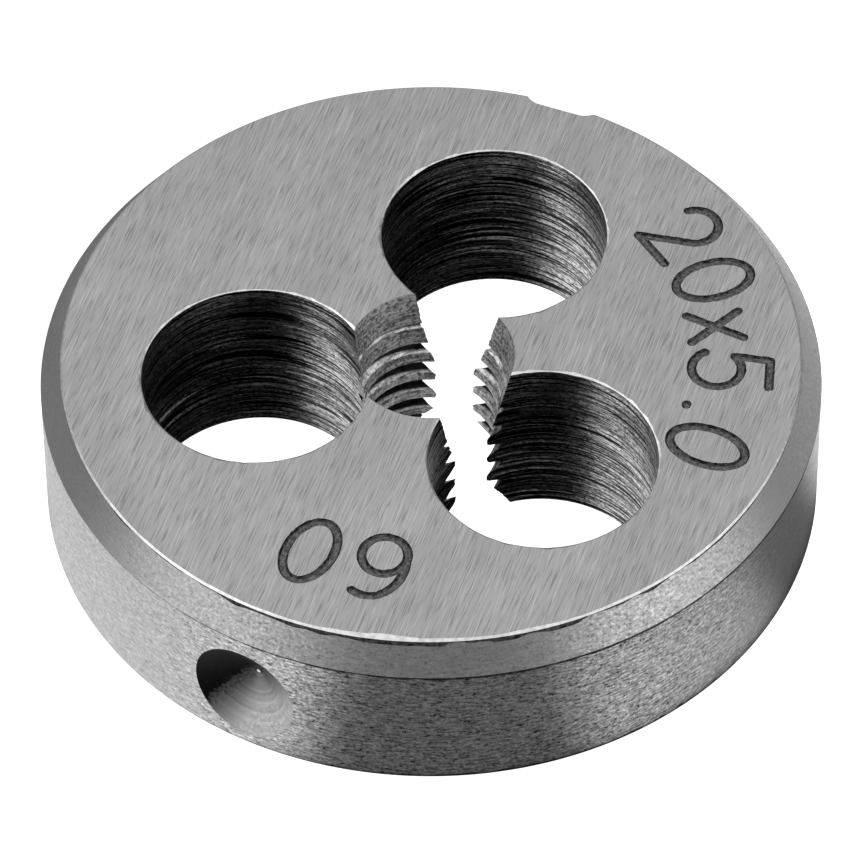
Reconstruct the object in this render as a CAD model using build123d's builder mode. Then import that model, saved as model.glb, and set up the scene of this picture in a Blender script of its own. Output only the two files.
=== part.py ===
from build123d import *

# Round threading die for M4 x 0.7, a disc 20 mm across and 5 mm thick.
#
# The die is one piece of hardened steel. It is turned as a disc with a chamfered rim.
# Three chip holes are drilled round the middle, and a bore is tapped between them. What
# they leave of the bore's wall is three lands, whose teeth cut the thread. The bore opens
# out as a taper at both faces, so that the first teeth cut a little at a time.
#
# Frame: millimetres, origin on the thread axis in the bottom face, +Z towards the marked
# face, where the rod goes in, and +Y through the adjusting groove.

import os
from math import ceil, radians, tan

# Disc
DIE_DIAMETER = 20.0
DIE_THICKNESS = 5.0
TOP_CHAMFER_WIDTH = 0.55  # along the radius
TOP_CHAMFER_HEIGHT = 0.8  # along the axis
BOTTOM_CHAMFER = 0.3

# Thread, ISO metric coarse and right-handed
THREAD_DIAMETER = 4.0
THREAD_PITCH = 0.7
THREAD_START = 0.53  # height of the lowest gap between teeth, at the middle of the first land
BORE_DIAMETER = 3.42  # across the tips of the teeth

# Tapers of the bore
TAPER_OVER_THREAD = 0.15  # how far a taper's mouth stands outside the thread, along the radius
LEAD_IN_LENGTH = 2.2  # at the marked face
RELIEF_LENGTH = 1.0  # at the bottom face

# Chip holes
CHIP_HOLE_COUNT = 3
CHIP_HOLE_DIAMETER = 5.86
CHIP_HOLE_BREAK_IN = 0.13  # how far each hole reaches inside the thread's crests

# Adjusting groove, cut along the rim in line with the first chip hole
GROOVE_DIRECTION = 90.0  # degrees from +X
GROOVE_WIDTH = 2.1
GROOVE_DEPTH = 0.76
GROOVE_CORNER = 0.5

# Dimple for the set screw, left by the point of a drill
DIMPLE_DIRECTION = -97.0  # degrees from +X
DIMPLE_DIAMETER = 3.1
DIMPLE_DROP = 0.1  # how far its middle lies below the middle of the wall
DRILL_POINT_ANGLE = 118.0

# Worked out from the sizes above
die_radius = DIE_DIAMETER / 2
wall_middle = (BOTTOM_CHAMFER + DIE_THICKNESS - TOP_CHAMFER_HEIGHT) / 2
root_radius = THREAD_DIAMETER / 2
crest_radius = BORE_DIAMETER / 2
thread_depth = root_radius - crest_radius
root_flat = THREAD_PITCH / 8
flank_slope = tan(radians(60 / 2))  # ISO threads have a 60 degree V
taper_mouth_radius = root_radius + TAPER_OVER_THREAD
chip_hole_offset = crest_radius - CHIP_HOLE_BREAK_IN + CHIP_HOLE_DIAMETER / 2

# The cutter for one gap between two teeth: a V with a flat tip, swept along a short piece
# of the thread's helix. It reaches a little inside the crests, and it is long enough to
# run out into the chip hole at each side of a land.
gap_arc = 0.93 * 360 / CHIP_HOLE_COUNT
gap_rise = THREAD_PITCH * gap_arc / 360
gap_overlap = 0.15 * THREAD_PITCH
gap_mouth = root_flat + 2 * (thread_depth + gap_overlap) * flank_slope

with BuildPart() as tooth_gap:
    with BuildLine():
        gap_path = Helix(THREAD_PITCH, gap_rise, crest_radius, center=(0, 0, -gap_rise / 2))
    gap_start = Plane(origin=gap_path @ 0, x_dir=(1, 0, 0), z_dir=gap_path % 0)
    with BuildSketch(gap_start):
        with BuildLine():
            Polyline(
                (-gap_overlap, -gap_mouth / 2),
                (thread_depth, -root_flat / 2),
                (thread_depth, root_flat / 2),
                (-gap_overlap, gap_mouth / 2),
                close=True,
            )
        make_face()
    sweep(path=gap_path, is_frenet=True)

# Where the gaps go: one to a turn on each land, all on the same helix.
gap_places = []
for land in range(CHIP_HOLE_COUNT):
    land_direction = GROOVE_DIRECTION + (land + 0.5) * 360 / CHIP_HOLE_COUNT
    for turn in range(ceil(DIE_THICKNESS / THREAD_PITCH)):
        gap_height = THREAD_START + THREAD_PITCH * (turn + land / CHIP_HOLE_COUNT)
        gap_places.append(Location((0, 0, gap_height), (0, 0, land_direction - gap_arc / 2)))

with BuildPart() as die_body:
    # The turned disc: half of its section, revolved.
    with BuildSketch(Plane.XZ):
        with BuildLine():
            Polyline(
                (0, 0),
                (die_radius - BOTTOM_CHAMFER, 0),
                (die_radius, BOTTOM_CHAMFER),
                (die_radius, DIE_THICKNESS - TOP_CHAMFER_HEIGHT),
                (die_radius - TOP_CHAMFER_WIDTH, DIE_THICKNESS),
                (0, DIE_THICKNESS),
                close=True,
            )
        make_face()
    revolve(axis=Axis.Z)

    # Chip holes, with the first one in line with the groove.
    with BuildSketch():
        with PolarLocations(chip_hole_offset, CHIP_HOLE_COUNT, start_angle=GROOVE_DIRECTION):
            Circle(CHIP_HOLE_DIAMETER / 2)
    extrude(amount=DIE_THICKNESS, mode=Mode.SUBTRACT)

    # The bore, as wide as the thread's crests.
    with BuildSketch():
        Circle(crest_radius)
    extrude(amount=DIE_THICKNESS, mode=Mode.SUBTRACT)

    # Its tapers, the lead-in at the marked face and the relief at the bottom face.
    with Locations((0, 0, DIE_THICKNESS)):
        Cone(
            crest_radius,
            taper_mouth_radius,
            LEAD_IN_LENGTH,
            align=(Align.CENTER, Align.CENTER, Align.MAX),
            mode=Mode.SUBTRACT,
        )
    Cone(
        taper_mouth_radius,
        crest_radius,
        RELIEF_LENGTH,
        align=(Align.CENTER, Align.CENTER, Align.MIN),
        mode=Mode.SUBTRACT,
    )

    # The gaps between the teeth.
    with Locations(*gap_places):
        add(tooth_gap.part, mode=Mode.SUBTRACT)

    # Adjusting groove, flat-bottomed with rounded corners.
    with BuildSketch():
        with PolarLocations(die_radius, 1, start_angle=GROOVE_DIRECTION):
            RectangleRounded(2 * GROOVE_DEPTH, GROOVE_WIDTH, GROOVE_CORNER)
    extrude(amount=DIE_THICKNESS, mode=Mode.SUBTRACT)

    # Dimple: the cone of the drill's point, sunk into the rim until its mouth is full size.
    outward = Vector(1, 0, 0).rotate(Axis.Z, DIMPLE_DIRECTION)
    dimple_middle = outward * die_radius + Vector(0, 0, wall_middle - DIMPLE_DROP)
    dimple_mouth = Plane(origin=dimple_middle, z_dir=outward)
    dimple_depth = DIMPLE_DIAMETER / 2 / tan(radians(DRILL_POINT_ANGLE / 2))
    with Locations(dimple_mouth):
        Cone(
            0,
            DIMPLE_DIAMETER / 2,
            dimple_depth,
            align=(Align.CENTER, Align.CENTER, Align.MAX),
            mode=Mode.SUBTRACT,
        )

os.makedirs("parts", exist_ok=True)
die_body.part.label = "die_body"
export_step(die_body.part, "parts/die_body.step")
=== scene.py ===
# %% [markdown]
# # Dressing a round threading die
#
# A round die is a small disc of hardened steel that cuts a thread on a rod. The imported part
# already has its true size: a 20 mm disc with three chip holes, a tapped bore, a groove and
# a dimple. This lesson gives it its finishes: a ground face, a turned rim, drilled holes with
# the rings the drill left, torn little teeth, and engraved numbers.
#
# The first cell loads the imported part. Everything made later stays in its frame: metres,
# the origin on the thread's axis in the bottom face, +Z towards the marked face.

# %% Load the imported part
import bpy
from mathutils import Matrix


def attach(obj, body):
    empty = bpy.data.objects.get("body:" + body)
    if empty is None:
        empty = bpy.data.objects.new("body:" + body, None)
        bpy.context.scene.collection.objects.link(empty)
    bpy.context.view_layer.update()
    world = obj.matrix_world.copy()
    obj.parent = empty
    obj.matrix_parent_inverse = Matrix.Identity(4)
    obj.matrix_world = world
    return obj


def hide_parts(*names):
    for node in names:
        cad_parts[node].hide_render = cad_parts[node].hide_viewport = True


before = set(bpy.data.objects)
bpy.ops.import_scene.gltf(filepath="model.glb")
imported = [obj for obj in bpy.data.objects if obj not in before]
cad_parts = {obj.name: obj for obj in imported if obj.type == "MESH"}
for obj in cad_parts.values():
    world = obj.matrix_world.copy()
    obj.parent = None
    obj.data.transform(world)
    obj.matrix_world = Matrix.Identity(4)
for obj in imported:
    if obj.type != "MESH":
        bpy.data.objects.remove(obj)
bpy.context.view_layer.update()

# %% [markdown]
# ## The tools of this lesson
#
# Blender's Python has several ways to make a mesh. Operators click buttons for you, and
# bmesh builds corner by corner. A turned and drilled part is all formulas, so bmesh fits it
# better. Each cutter is a closed mesh of its own, and a boolean takes it away, as the real
# cutter did.

# %% Imports
from math import ceil, cos, pi, radians, sin, tan, tau

import bmesh
import bpy
from mathutils import Matrix, Vector, noise

# %% [markdown]
# ## Sizes
#
# These are the sizes that the part was built to, in millimetres. The meshes are made in
# millimetres too, because booleans are steadier on numbers near one, and the finished die
# is scaled to metres at the end.

# %% Sizes of the die, in millimetres
MM = 0.001
die_radius = 10.0
die_thickness = 5.0
top_chamfer_width = 0.55
top_chamfer_height = 0.8
bottom_chamfer = 0.3

pitch = 0.7
thread_start = 0.53
crest_radius = 1.71
root_radius = 2.0
taper_mouth_radius = 2.15
lead_in_length = 2.2
relief_length = 1.0

chip_hole_count = 3
chip_hole_radius = 2.93
chip_hole_offset = 4.51

groove_direction = 90.0
groove_width = 2.1
groove_depth = 0.76
groove_corner = 0.5

dimple_direction = -97.0
dimple_diameter = 3.1
dimple_height = 2.15
drill_point_angle = 118.0
wall_height = die_thickness - top_chamfer_height - bottom_chamfer
print("the wall between the chamfers is", round(wall_height, 2), "mm high")

# %% [markdown]
# ## The camera
#
# A long lens far away keeps the disc's ellipse nearly the same at its near and far edge.
# The camera is set up first, because every later choice is judged through it. Its three
# axes are worked out from the angle it looks down at, the way it faces and its small tilt.

# %% Camera
camera_distance = 191.7
camera_elevation = radians(48.904)
camera_heading = radians(21.6)
camera_tilt = radians(-0.442)
lens_in_pixels = 7362.6
picture_width_in_pixels = 860
aim_beside_axis = -0.040
aim_above_axis = 1.360

turn_to_part = Matrix.Rotation(camera_heading, 3, "Z")
forward = turn_to_part @ Vector((0, cos(camera_elevation), -sin(camera_elevation)))
level_right = turn_to_part @ Vector((1, 0, 0))
level_up = level_right.cross(forward)
right = cos(camera_tilt) * level_right + sin(camera_tilt) * level_up
up = cos(camera_tilt) * level_up - sin(camera_tilt) * level_right
stand = aim_beside_axis * level_right - camera_distance * forward + aim_above_axis * level_up

lens = bpy.data.cameras.new("portrait_lens")
lens.sensor_width = 36
lens.lens = lens_in_pixels / picture_width_in_pixels * lens.sensor_width
lens.clip_start = 0.01
lens.clip_end = 20
camera = bpy.data.objects.new("portrait_camera", lens)
camera_axes = Matrix((right, up, -forward)).transposed().to_4x4()
camera.matrix_world = Matrix.Translation(stand * MM) @ camera_axes
bpy.context.collection.objects.link(camera)
bpy.context.scene.camera = camera
print("the lens is", round(lens.lens), "mm long and stands", round(stand.length), "mm away")

# %% [markdown]
# ## A small kit for finishes
#
# A material in Blender is a tree of nodes. Nodes can be added and joined one by one, but then
# three lines in four only say which socket meets which. So a small kit does the joining: most
# of its methods add a node, feed it, and give back the output to use next.


# %% A kit for node trees
class NodeKit:
    """Adds nodes to one node tree and joins them."""

    def __init__(self, tree):
        self.tree = tree

    def add(self, kind):
        """A new node of that kind."""
        return self.tree.nodes.new("ShaderNode" + kind)

    def join(self, output, socket):
        """A wire from an output to a socket."""
        self.tree.links.new(output, socket)

    def combine(self, operation, first, second=0.0):
        """Two values joined by a sum, a product and so on. The second may be a plain number."""
        maths = self.add("Math")
        maths.operation = operation
        self.join(first, maths.inputs[0])
        if isinstance(second, (int, float)):
            maths.inputs[1].default_value = second
        else:
            self.join(second, maths.inputs[1])
        return maths.outputs["Value"]

    def total(self, first, *others):
        """The values added up. All but the first may be plain numbers."""
        for other in others:
            first = self.combine("ADD", first, other)
        return first

    def product(self, first, *others):
        """The values multiplied together. All but the first may be plain numbers."""
        for other in others:
            first = self.combine("MULTIPLY", first, other)
        return first

    def between(self, value, from_low, from_high, to_low, to_high):
        """The value mapped from one range to another, and held inside it."""
        mapped = self.add("MapRange")
        mapped.inputs["From Min"].default_value = from_low
        mapped.inputs["From Max"].default_value = from_high
        mapped.inputs["To Min"].default_value = to_low
        mapped.inputs["To Max"].default_value = to_high
        self.join(value, mapped.inputs["Value"])
        return mapped.outputs["Result"]

    def vector(self, operation, first, second=None):
        """Vector maths. The second vector, where there is one, is plain numbers."""
        maths = self.add("VectorMath")
        maths.operation = operation
        self.join(first, maths.inputs[0])
        if second is not None:
            maths.inputs[1].default_value = second
        gives_a_number = operation in ("LENGTH", "DOT_PRODUCT")
        return maths.outputs["Value" if gives_a_number else "Vector"]

    def toward(self, place, turn):
        """How far a place lies in the level direction that stands at that turn from +X."""
        return self.vector("DOT_PRODUCT", place, (cos(turn), sin(turn), 0))

    def parts(self, vector):
        """The X, Y and Z of a vector."""
        split = self.add("SeparateXYZ")
        self.join(vector, split.inputs["Vector"])
        return split.outputs["X"], split.outputs["Y"], split.outputs["Z"]

    def vector_from(self, **values):
        """A vector from values named X, Y and Z. One that isn't given is 0."""
        joined = self.add("CombineXYZ")
        for axis, value in values.items():
            self.join(value, joined.inputs[axis])
        return joined.outputs["Vector"]


def skills(kit):
    return ", ".join(skill for skill in vars(kit) if not skill.startswith("_"))


print("the kit can", skills(NodeKit))

# %% [markdown]
# Bare steel is one colour. What tells ground steel from drilled steel is the marks: their
# direction, length and depth. So each finish here is the same metal with other marks. A set
# of marks is a noise that is stretched along one direction, and it may change the grey, the
# roughness and the relief. All of it is worked out from the place on the die, because a
# picture wrapped round the part would show seams and would blur from close by.


# %% A kit for bare metal
class Finish(NodeKit):
    """A bare metal of one grey, to add marks to."""

    def __init__(self, name, grey, roughness):
        self.material = bpy.data.materials.new(name)
        self.material.use_nodes = True
        self.material.diffuse_color = (grey, grey, grey, 1)
        super().__init__(self.material.node_tree)
        self.metal = self.tree.nodes["Principled BSDF"]
        self.metal.inputs["Metallic"].default_value = 1.0
        self.metal.inputs["Base Color"].default_value = (grey, grey, grey, 1)
        self.metal.inputs["Roughness"].default_value = roughness

    def place(self):
        """The place on the object, in metres."""
        return self.add("TexCoord").outputs["Object"]

    def seen_from(self, middle, turn, lengths):
        """The place seen from a middle in mm, turned about Z, in units of those lengths in mm."""
        local = self.add("Mapping")
        local.vector_type = "TEXTURE"
        local.inputs["Location"].default_value = middle * MM
        local.inputs["Rotation"].default_value = (0, 0, turn)
        local.inputs["Scale"].default_value = [length * MM for length in lengths]
        self.join(self.place(), local.inputs["Vector"])
        return local.outputs["Vector"]

    def noise_over(self, place, detail=3.0, roughness=0.5, distortion=0.0):
        """A noise from 0 to 1 over that place."""
        pattern = self.add("TexNoise")
        pattern.inputs["Scale"].default_value = 1.0
        pattern.inputs["Detail"].default_value = detail
        pattern.inputs["Roughness"].default_value = roughness
        pattern.inputs["Distortion"].default_value = distortion
        self.join(place, pattern.inputs["Vector"])
        return pattern.outputs["Fac"]

    def marks(self, lengths, detail=3.0, roughness=0.5, distortion=0.0, direction=0.0):
        """A noise whose cells have those lengths in mm, the first one in that direction."""
        place = self.seen_from(Vector((0, 0, 0)), radians(direction), lengths)
        return self.noise_over(place, detail, roughness, distortion)

    def paint(self, brightness):
        """Gives the metal greys of that brightness."""
        colour = self.add("CombineColor")
        for channel in ("Red", "Green", "Blue"):
            self.join(brightness, colour.inputs[channel])
        self.join(colour.outputs["Color"], self.metal.inputs["Base Color"])

    def roughen(self, roughness):
        """Gives the metal a roughness that changes from place to place."""
        self.join(roughness, self.metal.inputs["Roughness"])

    def carve(self, height, depth_mm):
        """Marks as deep as depth_mm, for the light to catch."""
        bump = self.add("Bump")
        bump.inputs["Strength"].default_value = 1.0
        bump.inputs["Distance"].default_value = depth_mm * MM
        self.join(height, bump.inputs["Height"])
        self.join(bump.outputs["Normal"], self.metal.inputs["Normal"])


FINISHES = {}
print("the kit for bare metal also has", skills(Finish))

# %% [markdown]
# ## The ground faces
#
# The top and bottom faces were ground flat. The wheel left long straight scratches, all one
# way: a fine set, and a few wider and lighter ones that cross it at a small angle. Each set
# is a noise whose cells are a few hundredths of a millimetre across and one or two
# millimetres long. A third noise, much wider, clouds the whole face a little.

# %% Ground face
GRIND_DIRECTION = 92.0  # degrees from +X, along the scratches
GRIND_SKEW = 3.0  # between the fine scratches and the wide ones


def ground_face():
    steel = Finish("ground_face", 0.48, 0.34)
    fine = steel.marks((0.95, 0.034, 1), 2.0, 0.6, direction=GRIND_DIRECTION)
    wide = steel.marks((1.6, 0.045, 1), 1.0, direction=GRIND_DIRECTION + GRIND_SKEW)
    cloud = steel.marks((3.0, 1.2, 2), 2.0, direction=GRIND_DIRECTION)
    dark_scratches = steel.between(fine, 0.37, 0.47, 0.66, 1.0)
    light_scratches = steel.between(wide, 0.54, 0.68, 1.0, 1.22)
    clouded = steel.between(cloud, 0.3, 0.7, 0.5, 0.57)
    steel.paint(steel.product(dark_scratches, light_scratches, clouded))
    steel.roughen(steel.between(fine, 0.3, 0.7, 0.42, 0.32))
    steel.carve(fine, 0.002)
    return steel.material


FINISHES["ground_face"] = ground_face()
print("the scratches run", GRIND_DIRECTION, "degrees from +X")

# %% [markdown]
# ## The turned rim
#
# The rim and its chamfer were turned on a lathe and then tumbled. They are covered with fine
# pits, with light specks that are painted glints, and with short streaks that run round the rim.
# A noise with cells wider than they are high does that, once the place has been turned into a run
# round the rim and a height. The marks are strong on one side of the rim and fade away from it.


# %% Turned rim
MARKED_SIDE = -60.0  # degrees from +X, where the pits, streaks and painted glints are strongest
FAINTEST_MARKS = 0.3  # away from the marked side, where 1 is their full strength
FAINTEST_AT = 6.0  # mm toward the marked side
STRONGEST_AT = 9.3
DARKEST_GREY = 0.04


def round_the_rim(steel, along, up_down):
    """The place as mm round the rim, mm up and mm out, in units of those two lengths."""
    place = steel.place()
    x, y, z = steel.parts(place)
    angle = steel.combine("ARCTAN2", y, x)
    run = steel.product(angle, die_radius / along)
    rise = steel.product(z, 1 / (up_down * MM))
    out = steel.vector("LENGTH", steel.vector("MULTIPLY", place, (1, 1, 0)))
    return steel.vector_from(X=run, Y=rise, Z=steel.product(out, 1 / (up_down * MM)))


def toward_marked_side(steel):
    """From a low number on the far side of the rim to 1 on its marked side."""
    side = steel.toward(steel.place(), radians(MARKED_SIDE))
    return steel.between(side, FAINTEST_AT * MM, STRONGEST_AT * MM, FAINTEST_MARKS, 1.0)


def turned_rim(name, grey, roughness, streaks, specks, pit_depth):
    """Streaks and specks say how far the shade goes up and down, as parts of the grey."""
    steel = Finish(name, grey, roughness)
    pits = steel.noise_over(round_the_rim(steel, 0.1, 0.075), 2.0, 0.65)
    lines = steel.noise_over(round_the_rim(steel, 0.34, 0.065), 2.0, 0.6)
    pitted = steel.between(pits, 0.34, 0.43, -specks, 0.0)
    # light specks in the grey: painted glints, strongest on the marked side
    glinting = steel.between(pits, 0.56, 0.65, 0.0, specks)
    streaked = steel.between(lines, 0.36, 0.64, -streaks, streaks)
    marked = steel.product(steel.total(pitted, glinting, streaked), toward_marked_side(steel))
    shade = steel.total(steel.product(marked, grey), grey)
    steel.paint(steel.combine("MAXIMUM", shade, DARKEST_GREY))
    steel.roughen(steel.between(pits, 0.35, 0.65, roughness + 0.08, roughness - 0.06))
    steel.carve(steel.total(pits, lines), pit_depth)
    return steel.material


FINISHES["chamfer"] = turned_rim("turned_chamfer", 0.5, 0.36, 0.12, 0.42, 0.003)
FINISHES["wall"] = turned_rim("turned_wall", 0.51, 0.38, 0.42, 0.85, 0.006)
print("the rim is worn most at", MARKED_SIDE, "degrees from +X")

# %% [markdown]
# ## The drilled holes
#
# Coarse rings run round the walls of the chip holes, deeper in places where chips were dragged
# along. The rings themselves are in the mesh, further on. The material adds what is too fine for
# a mesh: thin dark lines of painted shade, as in the valleys between rings, the scratches beside
# them, and the torn spots that burnt cutting oil has stained. The whole wall is painted a darker
# grey than the faces, as painted shade inside the holes.


# %% Drilled walls
def drilled_wall():
    # the low grey of the wall is painted shade inside the holes
    steel = Finish("drilled_wall", 0.3, 0.3)
    lines = steel.marks((3.2, 3.2, 0.062), 1.0, 0.5, 0.1)
    scratches = steel.marks((1.0, 1.0, 0.05), 2.0, 0.6)
    tears = steel.marks((0.12, 0.12, 0.065), 2.0, 0.6)
    # thin dark lines: painted shade, as in the valleys between rings
    painted_ring_shade = steel.between(lines, 0.44, 0.468, 0.02, 1.0)
    scratched = steel.between(scratches, 0.4, 0.56, 0.45, 1.15)
    torn = steel.between(tears, 0.38, 0.56, 0.2, 0.72)
    steel.paint(steel.product(painted_ring_shade, scratched, torn))
    steel.carve(steel.total(lines, tears), 0.012)
    return steel.material


FINISHES["drilled"] = drilled_wall()
print("the drilled walls are made")

# %% [markdown]
# ## The teeth and the tapers
#
# The teeth are bright at their tips, where they rub on the rod, and painted black in the roots,
# as painted shadow of the tooth above, which starts nearer the tips on one side. So their finish
# asks how deep in a gap a point lies: how far it stands outside the tips. The tips stand further
# out where the taper has cut them off.
# The tapers are turned, and torn like the teeth: a rough mid grey with fine rings.

# %% Cut teeth and torn tapers
DARK_SIDE = 105.0  # degrees from +X, where the gaps lie deepest in shadow
LIGHT_SIDE_DEPTH = 0.13  # how deep a gap stays bright, away from the dark side
DARK_SIDE_DEPTH = 0.03
DARKENING_DEPTH = 0.07  # how much deeper a gap is black
LIGHT_SIDE_END = 0.5  # mm toward the dark side
DARK_SIDE_START = 1.8


def depth_in_gap(steel):
    """How far in mm a point stands outside the tips of the teeth, and toward DARK_SIDE."""
    place = steel.place()
    flat = steel.vector("MULTIPLY", place, (1 / MM, 1 / MM, 0))
    _x, _y, height = steel.parts(place)
    taper_foot = (die_thickness - lead_in_length) * MM
    taper_top = die_thickness * MM
    tips = steel.between(height, taper_foot, taper_top, crest_radius, taper_mouth_radius)
    deep = steel.combine("SUBTRACT", steel.vector("LENGTH", flat), tips)
    return deep, steel.toward(flat, radians(DARK_SIDE))


def cut_teeth():
    steel = Finish("cut_teeth", 0.5, 0.42)
    tears = steel.marks((0.7, 0.7, 0.05), 3.0, 0.65, 0.3)
    grains = steel.marks((0.1, 0.1, 0.08), 2.0, 0.6)
    rubbed = steel.between(tears, 0.36, 0.62, 0.3, 0.9)
    grained = steel.between(grains, 0.34, 0.6, 0.45, 1.15)
    deep, side = depth_in_gap(steel)
    bright_depth = steel.between(
        side, LIGHT_SIDE_END, DARK_SIDE_START, LIGHT_SIDE_DEPTH, DARK_SIDE_DEPTH
    )
    past = steel.combine("SUBTRACT", deep, bright_depth)
    # painted shadow: points deep in a gap go black, and on the dark side the black starts nearer
    # the tips
    painted_root_shadow = steel.between(past, 0.0, DARKENING_DEPTH, 1.0, 0.03)
    steel.paint(steel.product(rubbed, grained, painted_root_shadow))
    steel.carve(steel.total(tears, grains), 0.012)
    return steel.material


def torn_taper():
    steel = Finish("torn_taper", 0.5, 0.5)
    rings = steel.marks((0.9, 0.9, 0.06), 3.0, 0.65, 0.3)
    grains = steel.marks((0.1, 0.1, 0.08), 2.0, 0.6)
    ringed = steel.between(rings, 0.4, 0.56, 0.45, 1.1)
    grained = steel.between(grains, 0.36, 0.58, 0.32, 1.15)
    steel.paint(steel.product(ringed, grained))
    steel.carve(steel.total(rings, grains), 0.014)
    return steel.material


FINISHES["teeth"] = cut_teeth()
FINISHES["taper"] = torn_taper()
print("the gaps are", round(root_radius - crest_radius, 2), "mm deep")

# %% [markdown]
# ## The dimple
#
# The point of a drill left fine rings in the dimple, round its own axis, and one side of it is
# painted dark, as painted shade. So this finish needs the place as the drill saw it: from the
# middle of the dimple, with X along the drill. What is left of that place without its X is the
# way across, and its length is the radius of a ring.

# %% Spot-drilled dimple
RINGS_A_MM = 11.0
TOWARD_PAINTED_SHADE = (0, -0.75, 0.66)  # across the dimple, as the drill saw it


def spot_drilled():
    steel = Finish("spot_drilled", 0.5, 0.5)
    heading = radians(dimple_direction)
    middle = Vector((die_radius * cos(heading), die_radius * sin(heading), dimple_height))
    local = steel.seen_from(middle, heading, (1, 1, 1))
    radius = steel.vector("LENGTH", steel.vector("MULTIPLY", local, (0, 1, 1)))
    rings = steel.noise_over(steel.vector_from(X=steel.product(radius, RINGS_A_MM)), 3.0, 0.6)
    grains = steel.marks((0.09, 0.09, 0.09), 2.0, 0.6)
    # one side of the dimple is painted dark, as painted shade, with a ragged edge
    side = steel.vector("DOT_PRODUCT", local, TOWARD_PAINTED_SHADE)
    ragged_side = steel.total(side, steel.between(grains, 0.3, 0.7, -0.15, 0.15))
    painted_dark_side = steel.between(ragged_side, -0.8, 0.3, 1.0, 0.01)
    ringed = steel.between(rings, 0.35, 0.65, 0.42, 0.66)
    grained = steel.between(grains, 0.3, 0.7, 0.75, 1.2)
    steel.paint(steel.product(ringed, painted_dark_side, grained))
    steel.carve(steel.total(rings, grains), 0.006)
    return steel.material


FINISHES["dimple"] = spot_drilled()
print("the dimple has about", round(RINGS_A_MM * dimple_diameter / 2), "rings")

# %% [markdown]
# ## Painted shade, engraved marks and painted highlights
#
# Three more finishes are only a grain of dark and light spots. The painted shade is nearly black:
# painted shadow along the rim, in the walls of the engraved marks and round the pip in the
# dimple. The floor of an engraved mark is a dark grey. Burrs and sharp edges are painted the
# brightest of all, as painted highlights for the light they catch from every side.


# %% Painted shade, engraved marks and painted highlights
def grainy(name, grey, roughness, grain, greys, detail=2.0, fineness=0.5, depth=0.0):
    """A metal with a grain of that length in mm, between two greys."""
    steel = Finish(name, grey, roughness)
    grains = steel.marks((grain, grain, grain), detail, fineness)
    steel.paint(steel.between(grains, 0.35, 0.65, *greys))
    if depth:
        steel.carve(grains, depth)
    return steel.material


# nearly black painted shade: shadow lines on the rim, slot walls and the ring round the dimple's
# pip
FINISHES["scored"] = grainy("scored_line", 0.05, 0.6, grain=0.12, greys=(0.02, 0.14))
FINISHES["mark"] = grainy(
    "engraved_mark",
    0.16,
    0.55,
    grain=0.08,
    greys=(0.08, 0.25),
    detail=3.0,
    fineness=0.6,
    depth=0.012,
)
# bright painted highlight on burrs and sharp edges
FINISHES["edge"] = grainy("painted_highlight_edge", 0.85, 0.3, grain=0.12, greys=(0.7, 0.95))

finish_number = {name: number for number, name in enumerate(FINISHES)}
print("finishes:", ", ".join(FINISHES))

# %% [markdown]
# ## A lathe
#
# Most of the die is round: the disc, each drilled hole, the bore and the dimple. A lathe
# turns a list of (radius, height) points about Z. Each point names the finish of the band
# that follows it. A shape function may move each corner out and up a little, which is how
# a turned wall gets rings and tears that are really there.


# %% Turn a profile about Z
def join_rings(build, near, far):
    """Closes the band between two rings of corners. Either ring may be a single point."""
    steps = max(len(near), len(far))
    band = []
    for step in range(steps):
        following = (step + 1) % steps
        if len(near) == 1:
            corners = [near[0], far[following], far[step]]
        elif len(far) == 1:
            corners = [near[step], near[following], far[0]]
        else:
            corners = [near[step], near[following], far[following], far[step]]
        band.append(build.faces.new(corners))
    return band


def give_finish(faces, finish):
    for face in faces:
        face.material_index = finish_number[finish]


def finished(build, name):
    """Turns a bmesh into an object in the scene, with every finish in its slots."""
    bmesh.ops.recalc_face_normals(build, faces=build.faces)
    mesh = bpy.data.meshes.new(name)
    build.to_mesh(mesh)
    build.free()
    for finish in FINISHES.values():
        mesh.materials.append(finish)
    made = bpy.data.objects.new(name, mesh)
    bpy.context.collection.objects.link(made)
    return made


def keep_round(turn, radius, height):
    """The plainest shape function: it moves no corner."""
    return 0, 0


def lathe(name, profile, steps, shape=keep_round):
    """Turns the profile about Z, with that many steps to a turn."""
    build = bmesh.new()
    rings = []
    for radius, height, _finish in profile:
        if radius == 0:
            rings.append([build.verts.new((0, 0, height))])
            continue
        ring = []
        for step in range(steps):
            turn = tau * step / steps
            out, lift = shape(turn, radius, height)
            x, y = (radius + out) * cos(turn), (radius + out) * sin(turn)
            ring.append(build.verts.new((x, y, height + lift)))
        rings.append(ring)
    for (_radius, _height, finish), lower, upper in zip(profile, rings, rings[1:]):
        give_finish(join_rings(build, lower, upper), finish)
    return finished(build, name)


print("each turned mesh gets", len(FINISHES), "material slots")

# %% [markdown]
# ## The blank
#
# The disc is turned first. Its long chamfer at the marked face is steep, and the grinding left a
# thin burr where the face meets it: a bright line that widens and thins, and in one place lies
# over as a flat flake. The burr is a narrow band of its own here, so that it can be painted
# bright, as a painted highlight.
#
# Three thin lines of painted shadow run part of the way round the rim: one under the burr, one at
# the top of the upright wall and one at its foot. Each is a dark band of its own as well. Its
# shape function closes it to almost nothing where the rim has no painted shadow.

# %% Turn the blank
TINY = 1e-6  # two heights that differ by less are the same
HAIR = 0.001  # keeps a painted shadow line clear of the edge beside it
EDGE_ROUND = 0.03
BURR_WIDTH = 0.02
BURR_HEIGHT = 0.035
BURR_WANDER = 0.006  # how far its inner edge strays all round
BURR_LONG_SIDE = -76.3  # degrees from +X, where the burr lies over
BURR_LONG_REACH = 0.05  # how far it lies over round there
FLAKE_REACH = 0.11  # how far its flat flake does

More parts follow.
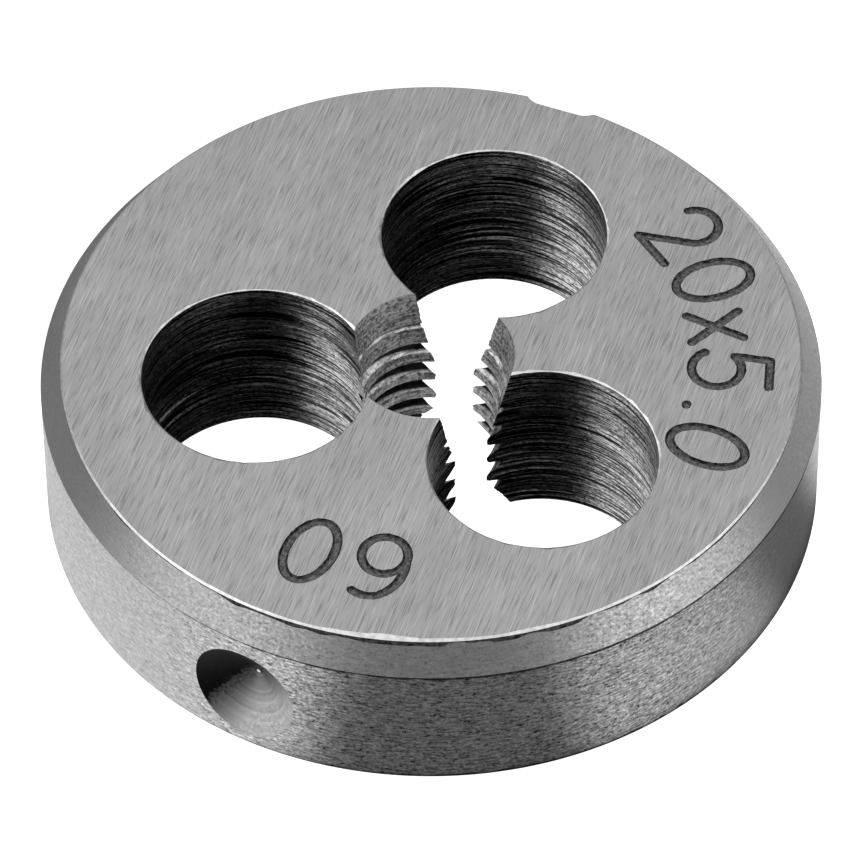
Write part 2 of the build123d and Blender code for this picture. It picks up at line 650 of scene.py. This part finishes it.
# three thin dark bands of painted shadow on the rim, flush with it
SHADOW_LINE_WIDTH = 0.095
LOW_SHADOW_LINE_WIDTH = 0.09
NO_SHADOW_LINE = 0.004  # what stays of a painted shadow line's width where there is none
WALL_SHADOW_LINE_MIDDLE = -35.0  # degrees from +X
BURR_SHADOW_LINE_MIDDLE = -66.0
LOW_SHADOW_LINE_MIDDLE = -45.0

top_radius = die_radius - top_chamfer_width
wall_top = die_thickness - top_chamfer_height
chamfer_slope = top_chamfer_width / top_chamfer_height
burr_foot = die_thickness - BURR_HEIGHT
wall_shadow_line_foot = wall_top - SHADOW_LINE_WIDTH
burr_shadow_line_foot = burr_foot - SHADOW_LINE_WIDTH
low_shadow_line_top = bottom_chamfer + LOW_SHADOW_LINE_WIDTH


def ripple(x, y, z, size):
    """A smooth noise from about -1 to 1, with bumps of that size in mm."""
    return noise.noise(Vector((x, y, z)) / size)


def chamfer_radius(height):
    return die_radius - (height - wall_top) * chamfer_slope


def near_turn(turn, middle, power):
    """1 in that direction, and less to both sides."""
    return abs(cos((turn - radians(middle)) / 2)) ** power


def closed_part(reach, least, openness):
    """How much of a painted shadow line is closed, from 0 to 1, where its openness is never below
    the least.
    """
    return 1 - min(1, reach * max(least, openness))


def rim_waver(turn, radius, height):
    """The burr's inner edge wanders, and the three painted shadow lines open and close round the
    rim.
    """
    x, y = radius * cos(turn), radius * sin(turn)
    if abs(height - die_thickness) < TINY:
        ragged = max(0, 0.5 + ripple(x, y, 0, 0.9)) + 0.3 * ripple(x, y, 3, 0.2)
        laid_over = BURR_LONG_REACH * near_turn(turn, BURR_LONG_SIDE, 22) * ragged
        flake = FLAKE_REACH * near_turn(turn, BURR_LONG_SIDE, 1300)
        return -laid_over - flake - BURR_WANDER * (1 + ripple(x, y, 5, 0.3)), 0
    if height == wall_shadow_line_foot:
        reach = min(1, 1.6 * near_turn(turn, WALL_SHADOW_LINE_MIDDLE, 9))
        closed = closed_part(reach, 0.3, 0.95 + 0.8 * ripple(x, y, 7, 0.5))
        return 0, (SHADOW_LINE_WIDTH - NO_SHADOW_LINE) * closed
    if height == burr_shadow_line_foot:
        reach = 1.3 * near_turn(turn, BURR_SHADOW_LINE_MIDDLE, 12)
        closed = closed_part(reach, 0.1, 0.55 + 1.2 * ripple(x, y, 11, 0.6))
        lift = (SHADOW_LINE_WIDTH - NO_SHADOW_LINE) * closed
        return -lift * chamfer_slope, lift
    if height == low_shadow_line_top:
        reach = near_turn(turn, LOW_SHADOW_LINE_MIDDLE, 14)
        closed = closed_part(reach, 0.3, 0.9 + ripple(x, y, 15, 0.5))
        return 0, -(LOW_SHADOW_LINE_WIDTH - NO_SHADOW_LINE) * closed
    return 0, 0


blank_profile = [
    (0, 0, "ground_face"),
    (die_radius - bottom_chamfer - EDGE_ROUND / 2, 0, "edge"),
    (die_radius - bottom_chamfer + EDGE_ROUND / 2, EDGE_ROUND / 2, "chamfer"),
    (die_radius - EDGE_ROUND / 2, bottom_chamfer - EDGE_ROUND / 2, "wall"),
    (die_radius, bottom_chamfer + HAIR, "scored"),
    (die_radius, low_shadow_line_top, "wall"),
    (die_radius, wall_shadow_line_foot, "scored"),
    (die_radius, wall_top - HAIR, "chamfer"),
    (chamfer_radius(wall_top + EDGE_ROUND), wall_top + EDGE_ROUND, "chamfer"),
    (chamfer_radius(burr_shadow_line_foot), burr_shadow_line_foot, "scored"),
    (chamfer_radius(burr_foot), burr_foot, "edge"),
    (top_radius - BURR_WIDTH, die_thickness, "ground_face"),
    (0, die_thickness, "ground_face"),
]
die = lathe("die", blank_profile, steps=420, shape=rim_waver)
print("the blank has", len(die.data.polygons), "faces")

# %% [markdown]
# ## The drills
#
# A drill's ring marks are not even. Some are scored deep, some fade out as the drill turns, and
# all lean a little because the drill moves down while it turns. The cutter is as wide as the
# hole, with that ring pattern pushed into it. Just inside each face it starts to flare, which
# leaves a small burr round the hole, painted bright as a highlight. At the marked face the burr
# is ragged.

# %% Cut the chip holes
OVER = 1.0  # how far each cutter reaches past the faces
RING_DEPTH = 0.03
RING_SPACING = 0.11
RING_LEAN = 0.12  # how much a ring climbs in one turn
RING_CHANGE = 0.35  # how much a ring changes on its way round
RING_PATCH = 0.9  # height of a stretch where the rings are all deep or all faint
PATCH_CHANGE = 1.3  # how much such a stretch changes on its way round
FAINTEST_RING = 0.15
HOLE_BURR = 0.03
HOLE_FLARE = 0.012
FLARE_SLOPE = 2.2
HOLE_LEVELS = 150
DRILL_TURN = 70.0  # degrees, so that no two holes have the same marks


def ring_marks(turn, radius, height):
    if abs(height - die_thickness + HOLE_FLARE) < TINY:
        x, y = radius * cos(turn), radius * sin(turn)
        ragged = 0.15 + ripple(x, y, radius, 0.6) + 0.8 * ripple(x, y, 4, 0.18)
        return 0, -HOLE_BURR * max(0, ragged)
    climb = (height + RING_LEAN * turn / tau) / RING_SPACING
    ring = ripple(RING_CHANGE * cos(turn), RING_CHANGE * sin(turn), climb, 1)
    patch_height = height / RING_PATCH + 7
    patch = ripple(PATCH_CHANGE * cos(turn), PATCH_CHANGE * sin(turn), patch_height, 1)
    return RING_DEPTH * ring * max(FAINTEST_RING, 0.55 + 0.9 * patch), 0


def hole_profile():
    flare_over = chip_hole_radius + (OVER + HOLE_FLARE) * FLARE_SLOPE
    # the flares at both faces are painted bright, as highlights
    profile = [(0, -OVER, "drilled"), (flare_over, -OVER, "edge")]
    for level in range(HOLE_LEVELS + 1):
        height = HOLE_FLARE + (die_thickness - 2 * HOLE_FLARE) * level / HOLE_LEVELS
        band = "edge" if level == HOLE_LEVELS else "drilled"
        profile.append((chip_hole_radius, height, band))
    profile.append((flare_over, die_thickness + OVER, "drilled"))
    profile.append((0, die_thickness + OVER, "drilled"))
    return profile


drills = []
for number in range(chip_hole_count):
    drill = lathe(f"drill_{number}", hole_profile(), steps=110, shape=ring_marks)
    direction = radians(groove_direction + 360 / chip_hole_count * number)
    hole_middle = chip_hole_offset * Vector((cos(direction), sin(direction), 0))
    turned = Matrix.Rotation(radians(DRILL_TURN * number), 4, "Z")
    drill.data.transform(Matrix.Translation(hole_middle) @ turned)
    drills.append(drill)
print(len(drills), "drills with", len(drills[0].data.polygons), "faces each")

# %% [markdown]
# ## The bore and its tapers
#
# The bore is as wide as the tips of the teeth. It opens out at both ends, so that the first
# teeth are cut off slanting. Its cutter is one more turned profile, like a reamer.

# %% Cut the bore
taper_spread = taper_mouth_radius - crest_radius
lead_in_over = taper_mouth_radius + OVER * taper_spread / lead_in_length
relief_over = taper_mouth_radius + OVER * taper_spread / relief_length
bore_profile = [
    (0, -OVER, "taper"),
    (relief_over, -OVER, "taper"),
    (crest_radius, relief_length, "teeth"),
    (crest_radius, die_thickness - lead_in_length, "taper"),
    (lead_in_over, die_thickness + OVER, "taper"),
    (0, die_thickness + OVER, "taper"),
]
bore = lathe("bore_reamer", bore_profile, steps=220)
print("the bore is", 2 * crest_radius, "mm wide and opens to", 2 * taper_mouth_radius)

# %% [markdown]
# ## The thread
#
# A tap cut the gaps between the teeth, one helix with a 60 degree V. The cutter is that V,
# carried along the helix with one ring of corners every two degrees. It reaches a little
# inside the bore, where there is nothing left to cut. Real threads this small are torn
# rather than clean, so each corner is moved by a few microns of noise, and the V has more
# corners than its straight flanks need.

# %% Cut the thread
TEAR = 0.011
TIP_ROUND = 0.045  # how much a gap widens where the tips are rounded
TIP_ROUND_DEPTH = 0.05
ROOT_ROUND = 0.02
ROOT_FLAT_LEFT = 0.55  # what the round leaves of the flat in the root
GAP_OVERLAP = 0.105  # how far the cutter reaches inside the bore
TURNS_BELOW = 1.6
TURNS_ABOVE = 8.2

thread_depth = root_radius - crest_radius
half_flat = pitch / 16
flank = tan(radians(60 / 2))
land_middle = radians(groove_direction + 360 / chip_hole_count / 2)


def gap_section():
    """Corners of the V as (depth outside the crests, height above the gap's middle)."""
    side = [
        (-GAP_OVERLAP, half_flat + (thread_depth + GAP_OVERLAP) * flank + TIP_ROUND),
        (0, half_flat + thread_depth * flank + TIP_ROUND),
        (TIP_ROUND_DEPTH, half_flat + (thread_depth - TIP_ROUND_DEPTH) * flank),
        (0.6 * thread_depth, half_flat + 0.4 * thread_depth * flank),
        (thread_depth - ROOT_ROUND, half_flat + ROOT_ROUND * flank),
        (thread_depth, half_flat * ROOT_FLAT_LEFT),
    ]
    return [(out, -rise) for out, rise in side] + [(out, rise) for out, rise in reversed(side)]


def helix_cutter(name, section, steps_a_turn):
    build = bmesh.new()
    rings = []
    for step in range(-ceil(TURNS_BELOW * steps_a_turn), ceil(TURNS_ABOVE * steps_a_turn)):
        heading = land_middle + tau * step / steps_a_turn
        middle = thread_start + pitch * step / steps_a_turn
        ring = []
        for out, rise in section:
            radius = crest_radius + out
            x, y, z = radius * cos(heading), radius * sin(heading), middle + rise
            radius += TEAR * ripple(x, y, z, 0.12) + 0.6 * TEAR * ripple(x, y, z + 9, 0.05)
            z += 0.7 * TEAR * ripple(x + 5, y, z, 0.12)
            ring.append(build.verts.new((radius * cos(heading), radius * sin(heading), z)))
        rings.append(ring)
    for near, far in zip(rings, rings[1:]):
        join_rings(build, near, far)
    build.faces.new(rings[0])
    build.faces.new(rings[-1])
    give_finish(build.faces, "teeth")
    return finished(build, name)


tap = helix_cutter("tap", gap_section(), steps_a_turn=180)
print("the tap has", len(tap.data.polygons), "faces")

# %% [markdown]
# ## The groove
#
# The groove in the rim is milled straight down with a small round-cornered cutter. Seen from
# above it is a flat outline, with a quarter of a circle at each inner corner, so the cutter is
# that outline stood up between two heights.


# %% Cut the groove
def bend(x, y, across, up_down, start, end, steps=18):
    """Points on an oval arc, with angles in degrees."""
    arc = []
    for step in range(steps + 1):
        turn = radians(start + (end - start) * step / steps)
        arc.append((x + across * cos(turn), y + up_down * sin(turn)))
    return arc


def groove_outline():
    """The groove seen from above, at the +Y side. Its last two corners lie outside the disc."""
    half = groove_width / 2
    corner_x = half - groove_corner
    corner_y = die_radius - groove_depth + groove_corner
    left = bend(-corner_x, corner_y, groove_corner, groove_corner, 180, 270, 8)
    right = bend(corner_x, corner_y, groove_corner, groove_corner, 270, 360, 8)
    return left + right + [(half, die_radius + OVER), (-half, die_radius + OVER)]


def outline_cutter(name, outline, low, high, finish):
    """Stands a flat outline up between two heights."""
    build = bmesh.new()
    lower = [build.verts.new((x, y, low)) for x, y in outline]
    upper = [build.verts.new((x, y, high)) for x, y in outline]
    join_rings(build, lower, upper)
    build.faces.new(lower)
    build.faces.new(upper)
    give_finish(build.faces, finish)
    return finished(build, name)


mill = outline_cutter("groove_mill", groove_outline(), -OVER, die_thickness + OVER, "wall")
print("the groove is", groove_width, "mm wide and", groove_depth, "mm deep")

# %% [markdown]
# ## The dimple
#
# The dimple is the point of a drill, sunk into the rim, and the drill left rings in it and a
# small pip at its middle. Its cutter is turned on the lathe, standing up, and then laid over
# so that it points into the rim.

# %% Cut the dimple
DIMPLE_OVER = 0.5  # how much wider than its mouth the cone grows, to each side
DIMPLE_LID = 0.2  # how far the cutter is domed beyond that
DIMPLE_RING_DEPTH = 0.004
DIMPLE_RING_SPACING = 0.09
CONE_START = 0.1  # the radius where the even levels of the cone start
CONE_LEVELS = 30
PIP = [
    # radius, height above the point of the cone, finish
    # the pip's tip is painted bright as a highlight, and the ring round it dark as painted shade
    (0, 0.12, "edge"),
    (0.055, 0.105, "scored"),
    (0.11, 0.07, "dimple"),
]
dimple_slope = tan(radians(drill_point_angle / 2))
dimple_depth = dimple_diameter / 2 / dimple_slope


def dimple_rings(turn, radius, height):
    pip_radius = PIP[-1][0]
    if radius <= pip_radius:
        return 0, 0
    spacing = height / DIMPLE_RING_SPACING
    return DIMPLE_RING_DEPTH * ripple(spacing, 0.3 * cos(turn), 0.3 * sin(turn), 1), 0


def dimple_profile():
    profile = [(radius, height - dimple_depth, finish) for radius, height, finish in PIP]
    cone_end = dimple_diameter / 2 + DIMPLE_OVER
    for level in range(1, CONE_LEVELS + 1):
        radius = CONE_START + (cone_end - CONE_START) * level / CONE_LEVELS
        profile.append((radius, radius / dimple_slope - dimple_depth, "dimple"))
    profile.append((0, DIMPLE_OVER / dimple_slope + DIMPLE_LID, "dimple"))
    return profile


spot_drill = lathe("spot_drill", dimple_profile(), steps=96, shape=dimple_rings)
dimple_turn = radians(dimple_direction)
outward = Vector((cos(dimple_turn), sin(dimple_turn), 0))
dimple_middle = outward * die_radius + Vector((0, 0, dimple_height))
lay_over = outward.to_track_quat("Z", "Y").to_matrix().to_4x4()
spot_drill.data.transform(Matrix.Translation(dimple_middle) @ lay_over)
print("the dimple is", round(dimple_depth, 2), "mm deep")

# %% [markdown]
# ## The engraved numbers
#
# Numbers are cut into the marked face by a fine round-nosed cutter that follows single lines.
# A font would give outlines, not the path of a cutter, so each figure here is a few strokes
# on a grid one unit high. These are plain numbers: the die's own width and thickness, and
# the angle of its thread.

# %% Strokes of the figures
FIGURES = {
    "0": [bend(0.3, 0.5, 0.3, 0.5, 90, 272), bend(0.3, 0.5, 0.3, 0.5, -90, 92)],
    "2": [bend(0.3, 0.7, 0.29, 0.3, 165, -38) + [(0.02, 0.0)], [(0.02, 0.0), (0.62, 0.0)]],
    "5": [
        [(0.55, 1.0), (0.09, 1.0)],
        [(0.09, 1.0), (0.05, 0.56)],
        bend(0.27, 0.32, 0.31, 0.32, 135, -150),
    ],
    "6": [
        bend(0.3, 0.3, 0.29, 0.3, 0, 182),
        bend(0.3, 0.3, 0.29, 0.3, 180, 362),
        bend(0.42, 0.42, 0.41, 0.56, 184, 62),
    ],
    "x": [[(0.02, 0.03), (0.48, 0.7)], [(0.02, 0.7), (0.48, 0.03)]],
    ".": [[(0.0, 0.03), (0.02, 0.03)]],
}
print("figures:", " ".join(FIGURES))

# %% [markdown]
# Each stroke becomes a slot: its outline is drawn at a few distances from the line, wider
# towards the face, and the outlines are joined like the steps of a bowl. The walls of a slot
# are dark and its bottom is lighter, as in a real engraving, where light reaches the bottom
# first. Every corner is moved a little by noise, because a cutter this small tears the steel.

# %% A cutter for one stroke
MARK_HALF_WIDTH = 0.125
MARK_DEPTH = 0.07
MARK_RAGGED = 0.018
ROUND_END_STEPS = 7
SLOT_LEVELS = [
    # distance from the line, height above the face
    (0.07, -MARK_DEPTH),
    (0.11, -0.6 * MARK_DEPTH),
    (MARK_HALF_WIDTH, 0.0),
    (0.15, 0.06),
]


def slot_outline(points, distance):
    """The outline at that distance round a line, with round ends."""
    outline = []
    for line in (points, points[::-1]):
        for index, point in enumerate(line):
            before = line[max(0, index - 1)]
            after = line[min(len(line) - 1, index + 1)]
            along = (after - before).normalized()
            outline.append(point + distance * Vector((along.y, -along.x)))
        for step in range(1, ROUND_END_STEPS):
            swing = -pi / 2 + pi * step / ROUND_END_STEPS
            outline.append(line[-1] + distance * (Matrix.Rotation(swing, 2) @ along))
    return outline


def slot_cutter(name, points):
    build = bmesh.new()
    rings = []
    for distance, height in SLOT_LEVELS:
        ring = []
        for x, y in slot_outline(points, distance):
            ragged = MARK_RAGGED * ripple(x, y, height, 0.09)
            z = die_thickness + height + ragged / 2
            ring.append(build.verts.new((x + ragged, y - ragged, z)))
        rings.append(ring)
    for lower, upper in zip(rings, rings[1:]):
        # the walls of a slot get the dark painted shade, and its floor the lighter engraved grey
        give_finish(join_rings(build, lower, upper), "scored")
    give_finish([build.faces.new(rings[0]), build.faces.new(rings[-1])], "mark")
    return finished(build, name)


print("each slot is", 2 * MARK_HALF_WIDTH, "mm wide and", MARK_DEPTH, "mm deep")

# %% [markdown]
# The figures stand with their tops towards the rim and read clockwise. Each one is given by
# its direction, the radius of its foot and its width on the one-unit grid.

# %% Cut the numbers
MARK_HEIGHT = 2.0
MARK_SPACING = 0.09  # between the points of a stroke
MARKS = [
    # figure, degrees from +X, radius of its foot in mm, width
    ("2", 54.0, 6.75, 0.6),
    ("0", 40.5, 6.7, 0.6),
    ("x", 28.5, 6.6, 0.5),
    ("5", 16.8, 6.65, 0.6),
    (".", 6.5, 6.65, 0.0),
    ("0", -3.0, 6.65, 0.6),
    ("6", -78.5, 6.2, 0.6),
    ("0", -93.5, 6.2, 0.6),
]


def even_points(stroke, spacing):
    """The same line with points at even spacing."""
    points = [Vector(stroke[0])]
    for start, end in zip(stroke, stroke[1:]):
        start, end = Vector(start), Vector(end)
        pieces = max(1, round((end - start).length / spacing))
        for piece in range(1, pieces + 1):
            points.append(start.lerp(end, piece / pieces))
    return points


def figure_strokes(figure, direction, foot_radius, width):
    """The strokes of one figure, carried to its place on the face, in mm."""
    turn = radians(direction)
    upright = Vector((cos(turn), sin(turn)))
    reading = Vector((sin(turn), -cos(turn)))
    placed = []
    for stroke in FIGURES[figure]:
        line = []
        for x, y in stroke:
            up_the_face = upright * (foot_radius + MARK_HEIGHT * y)
            line.append(up_the_face + reading * MARK_HEIGHT * (x - width / 2))
        placed.append(even_points(line, MARK_SPACING))
    return placed


engravers = []
for mark in MARKS:
    for stroke in figure_strokes(*mark):
        engravers.append(slot_cutter(f"engraver_{len(engravers)}", stroke))
print(len(engravers), "strokes to engrave")

# %% [markdown]
# ## Take the cutters away
#
# The boolean modifier takes one closed mesh from another. Its manifold solver is quick and
# exact on closed meshes, and each new face keeps the finish number of the cutter it came
# from. The cutters are thrown away afterwards, as swarf is.


# %% Make every cut
def cut_away(blank, cutters, name):
    for cutter in cutters:
        cut = blank.modifiers.new(cutter.name, "BOOLEAN")
        cut.operation = "DIFFERENCE"
        cut.solver = "MANIFOLD"
        cut.object = cutter
    evaluated = blank.evaluated_get(bpy.context.evaluated_depsgraph_get())
    result = bpy.data.meshes.new_from_object(evaluated)
    blank.modifiers.clear()
    old = blank.data
    blank.data = result
    bpy.data.meshes.remove(old)
    for cutter in cutters:
        bpy.data.objects.remove(cutter)
    print(name, "->", len(blank.data.polygons), "faces")


cut_away(die, drills, "chip holes")
cut_away(die, [bore], "bore")
cut_away(die, [tap], "thread")
cut_away(die, [mill, spot_drill], "groove and dimple")
cut_away(die, engravers, "numbers")

# %% [markdown]
# ## Settle the surface
#
# After the cuts, the surface is shaded smooth inside each finish and sharp where two finishes
# meet or the surface turns by more than 35 degrees. Weighted normals keep the large flat
# faces flat. Then the die is scaled to metres.

# %% Shade it and scale it
SHARP_ANGLE = radians(35)
SAME_POINT = 1e-5  # mm


def settle(shaped):
    """Cleans, shades and scales a mesh, and counts the edges that don't join two faces."""
    build = bmesh.new()
    build.from_mesh(shaped.data)
    bmesh.ops.remove_doubles(build, verts=build.verts, dist=SAME_POINT)
    bmesh.ops.dissolve_degenerate(build, edges=build.edges, dist=SAME_POINT)
    for face in build.faces:
        face.smooth = True
    loose = 0
    for edge in build.edges:
        if len(edge.link_faces) != 2:
            loose += 1
            continue
        one, other = edge.link_faces
        turned = edge.calc_face_angle(0.0) > SHARP_ANGLE
        edge.smooth = not (turned or one.material_index != other.material_index)
    build.to_mesh(shaped.data)
    build.free()
    shaped.data.transform(Matrix.Scale(MM, 4))
    return loose


open_edges = settle(die)
weighted = die.modifiers.new("keep_faces_flat", "WEIGHTED_NORMAL")
weighted.keep_sharp = True
die.data.calc_loop_triangles()
print("open edges:", open_edges, " triangles:", len(die.data.loop_triangles))
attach(die, "root")
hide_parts("die_body")

# %% [markdown]
# ## The table
#
# Metal shows what is round it more than it shows itself, so the table matters as much as the
# lamps do. It is plain and pale, and it glows, so that it comes out evenly white. It is left
# out of reflections: the steel sees only the lamps and two cards, which come further on.


# %% Floor
FLOOR_REACH = 3.0  # metres to each side
FLOOR_LEVEL = -0.02  # mm, just under the part and the cards


def lay_down(name, build, level):
    """Turns a flat bmesh into an object on the table, at a level in mm."""
    mesh = bpy.data.meshes.new(name)
    build.to_mesh(mesh)
    build.free()
    laid = bpy.data.objects.new(name, mesh)
    laid.location.z = level * MM
    bpy.context.collection.objects.link(laid)
    return laid


def glowing_card(name, grey, glow):
    """A dull card that gives light of its own."""
    card_finish = Finish(name, grey, 1.0)
    card_finish.metal.inputs["Metallic"].default_value = 0.0
    card_finish.metal.inputs["Emission Color"].default_value = (1, 1, 1, 1)
    card_finish.metal.inputs["Emission Strength"].default_value = glow
    return card_finish


floor_build = bmesh.new()
bmesh.ops.create_grid(floor_build, x_segments=1, y_segments=1, size=FLOOR_REACH)
floor = lay_down("floor", floor_build, FLOOR_LEVEL)
floor.visible_glossy = False
floor.data.materials.append(glowing_card("pale_floor", 0.9, 1.0).material)
print("the floor is", 2 * FLOOR_REACH, "m wide")

# %% [markdown]
# ## Soft lamps
#
# The light is a surrounding of soft lamps on a dim ground, painted on the sky. A real studio
# would have panels on stands. Painted ones are smoother, and they light the inside of a hole
# without any noise from lamps that are small or close.
#
# Each lamp is placed as someone at the camera sees it: an angle round from the right-hand
# side, counter-clockwise, and a height above the table, each with how far the panel spreads
# to both sides. Two panels lie below the table. Reflections leave the floor out, so the holes
# see those panels through their lower ends, and their walls are light on one side and dark
# on the other.

# %% Helpers for soft light
ALL_ROUND = 180
SOFT_EDGE = 9  # degrees


def level_direction(kit, place):
    """The direction of a place or a ray, with its height left out, one unit long."""
    return kit.vector("NORMALIZE", kit.vector("MULTIPLY", place, (1, 1, 0)))


def soft_band(kit, value, dark, full, strength):
    """Rises smoothly from 0 at the dark value to the strength at the full one."""
    soft = kit.add("MapRange")
    soft.interpolation_type = "SMOOTHSTEP"
    soft.inputs["From Min"].default_value = min(dark, full)
    soft.inputs["From Max"].default_value = max(dark, full)
    soft.inputs["To Min"].default_value = 0 if dark < full else strength
    soft.inputs["To Max"].default_value = strength if dark < full else 0
    kit.join(value, soft.inputs["Value"])
    return soft.outputs["Result"]


def near_angle(kit, level, round_angle, spread, strength):
    """The strength for directions within the spread of an angle round, and 0 elsewhere."""
    toward = kit.toward(level, radians(round_angle) + camera_heading)
    dark = cos(radians(spread + SOFT_EDGE))
    full = cos(radians(spread - SOFT_EDGE))
    return soft_band(kit, toward, dark, full, strength)


print("a lamp fades out over", 2 * SOFT_EDGE, "degrees")

# %% [markdown]
# The sky gives each ray the light of the lamps that it points at. A ray straight from the
# camera sees plain white, so that the table's edge never shows.

# %% Lamps all round
LAMPS = [
    # angle round, spread, height, spread, strength
    (0, ALL_ROUND, 80, 40, 0.86),
    (165, 50, 42, 18, 0.7),
    (162, 50, -50, 22, 1.05),
    (40, 26, -16, 12, 0.3),
    (-148, 24, 12, 12, 1.1),
    (-27, 24, 12, 12, 1.15),
    (-8, 34, 34, 12, 0.8),
    (0, ALL_ROUND, 0, 25, 0.25),
]

world = bpy.data.worlds.new("soft_studio")
bpy.context.scene.world = world
world.use_nodes = True
sky_kit = NodeKit(world.node_tree)
facing = sky_kit.add("TexCoord").outputs["Generated"]
level_facing = level_direction(sky_kit, facing)
_east, _north, upward = sky_kit.parts(facing)
height_angle = sky_kit.combine("ARCSINE", upward)


def panel_glow(round_angle, spread, height, rise, strength):
    off_height = sky_kit.combine("SUBTRACT", height_angle, radians(height))
    off_size = sky_kit.combine("ABSOLUTE", off_height)
    dark = radians(rise + SOFT_EDGE)
    full = radians(rise - SOFT_EDGE)
    panel = soft_band(sky_kit, off_size, dark, full, strength)
    if spread == ALL_ROUND:
        return panel
    return sky_kit.product(panel, near_angle(sky_kit, level_facing, round_angle, spread, 1))


glow = sky_kit.total(*[panel_glow(*lamp) for lamp in LAMPS])
straight_from_camera = sky_kit.add("LightPath").outputs["Is Camera Ray"]
seen = sky_kit.combine("MAXIMUM", glow, straight_from_camera)
sky = world.node_tree.nodes["Background"]
sky.inputs["Color"].default_value = (1, 1, 1, 1)
sky_kit.join(seen, sky.inputs["Strength"])
print(len(LAMPS), "lamps")

# %% [markdown]
# The upright wall of the rim mirrors the table close by, and nothing else. So a ring of
# card lies round the die, which only reflections see. It glows more in some directions than
# in others, and that draws the light and dark stretches along the wall.

# %% Ring of card round the die
CARD_LEVEL = -0.01  # mm, between the part and the floor
CARD_RADII = (10.3, 17.0)
CARD_STEPS = 96
CARD_AMBIENT = 0.13
CARD_GLOWS = [
    # angle round, spread, strength
    (-154, 42, 0.85),
    (-46, 17, 0.5),
    (27, 26, 1.05),
]

card_build = bmesh.new()
card_rings = []
for radius in CARD_RADII:
    circle = bend(0, 0, radius * MM, radius * MM, 0, 360, CARD_STEPS)
    circle.pop()  # the last point is the first one again
    card_rings.append([card_build.verts.new((x, y, 0)) for x, y in circle])
inner, outer = card_rings
join_rings(card_build, outer, inner)
card = lay_down("ring_card", card_build, CARD_LEVEL)
card.visible_camera = False

card_finish = glowing_card("glowing_card", 0.0, 0.0)
card_level = level_direction(card_finish, card_finish.place())
card_panels = [near_angle(card_finish, card_level, *panel) for panel in CARD_GLOWS]
card_glow = card_finish.total(*card_panels, CARD_AMBIENT)
card_finish.join(card_glow, card_finish.metal.inputs["Emission Strength"])
card.data.materials.append(card_finish.material)
print("the ring of card reaches from", CARD_RADII[0], "to", CARD_RADII[1], "mm")

# %% [markdown]
# Some light also falls through the bore on to the table and comes back up to the teeth.
# A small round card under the bore does that.

# %% Small card under the bore
SPOT_RADIUS = 1.5
SPOT_OFFSET = 1.3
SPOT_ANGLE = 35.0  # degrees round from the camera's right-hand side
SPOT_GLOW = 0.5

spot_build = bmesh.new()
bmesh.ops.create_circle(spot_build, cap_ends=True, segments=32, radius=SPOT_RADIUS * MM)
spot = lay_down("bore_card", spot_build, CARD_LEVEL)
spot_turn = radians(SPOT_ANGLE) + camera_heading
spot.location.x = SPOT_OFFSET * MM * cos(spot_turn)
spot.location.y = SPOT_OFFSET * MM * sin(spot_turn)
spot.visible_camera = False
spot.data.materials.append(glowing_card("bore_glow", 0.0, SPOT_GLOW).material)
print("the small card stands", SPOT_OFFSET, "mm off the bore's axis")

# %% [markdown]
# ## How the picture is developed
#
# The plain display transform shows each grey as it was worked out.

# %% Develop
bpy.context.scene.view_settings.view_transform = "Standard"
bpy.context.scene.view_settings.look = "None"
print("developed with the plain transform")

# %% [markdown]
# ## The size
#
# The dressed die must fill the same box as the imported part.
